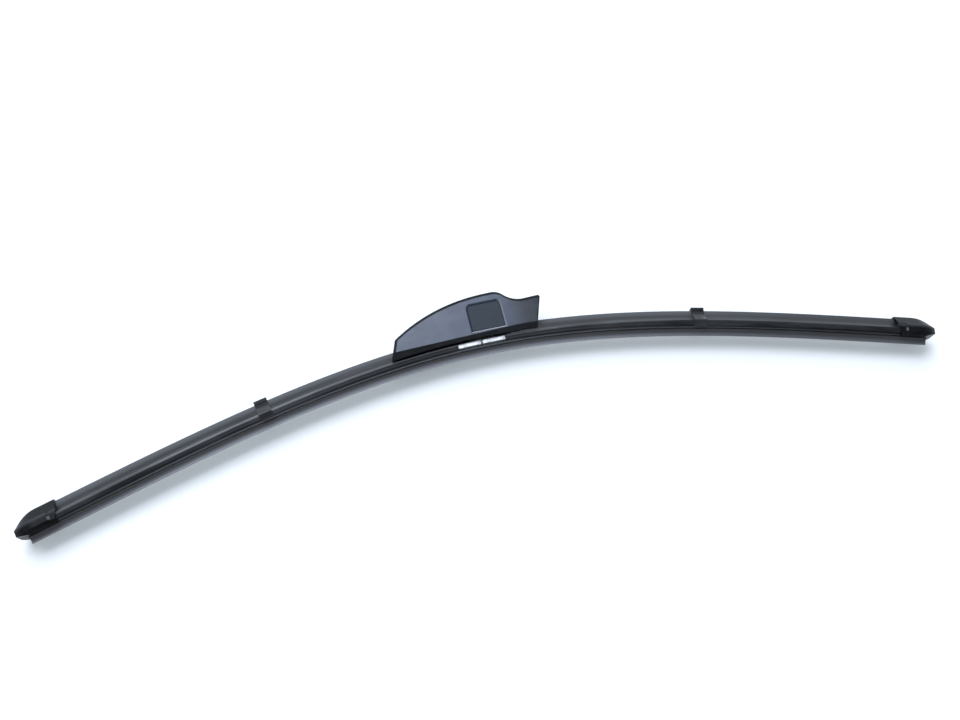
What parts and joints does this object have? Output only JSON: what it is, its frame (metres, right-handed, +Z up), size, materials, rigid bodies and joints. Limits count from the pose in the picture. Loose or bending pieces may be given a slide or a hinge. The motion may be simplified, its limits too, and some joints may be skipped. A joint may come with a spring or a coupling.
{
  "type": "wiper blade",
  "caption": "Flat frameless car wiper blade: bowed spring rails, hollow spoiler, wiping rubber, end caps and a fin-shaped connector that takes a hooked arm.",
  "frame": {"origin": "on the surface it lies on, under the centre of its outline", "axes": "+X along the blade from the nose end of the connector to its open tail, +Y away from the glass towards the connector's back, +Z up across the blade as it lies on its side"},
  "size_m": [0.544, 0.0876, 0.02],
  "materials": {
    "lip_rubber": "satin extruded rubber",
    "rail_steel": "black coated spring steel",
    "spoiler_rubber": "satin extruded",
    "clip_plastic": "moulded",
    "cap_plastic": "moulded",
    "zinc_steel": "bright zinc plated",
    "adaptor_plastic": "moulded",
    "cover_plastic": "satin moulded",
    "button_plastic": "grained moulded"
  },
  "bodies": {
    "blade": {"wiper_rubber": "lip_rubber", "spring_rail_near": "rail_steel", "spring_rail_far": "rail_steel", "spoiler_left": "spoiler_rubber", "spoiler_right": "spoiler_rubber", "rail_clip_left": "clip_plastic", "rail_clip_right": "clip_plastic", "end_cap_left": "cap_plastic", "end_cap_right": "cap_plastic", "base_bracket": "zinc_steel", "pivot_rivet": "zinc_steel", "connector_cover": "cover_plastic"},
    "adaptor": {"hook_adaptor": "adaptor_plastic"},
    "near_button": {"release_button_near": "button_plastic"},
    "far_button": {"release_button_far": "button_plastic"}
  },
  "joints": [
    {"name": "adaptor_rock", "type": "hinge", "parent": "blade", "child": "adaptor", "pos_m": [-0.0023, 0.02572, 0.01], "axis": [0, 0, 1], "range_deg": [-8, 12]},
    {"name": "near_button_press", "type": "slide", "parent": "blade", "child": "near_button", "axis": [0, 0, -1], "range_m": [0, 0.0009], "stiffness_N_per_m": 2000},
    {"name": "far_button_press", "type": "slide", "parent": "blade", "child": "far_button", "axis": [0, 0, 1], "range_m": [0, 0.0009], "stiffness_N_per_m": 2000}
  ]
}
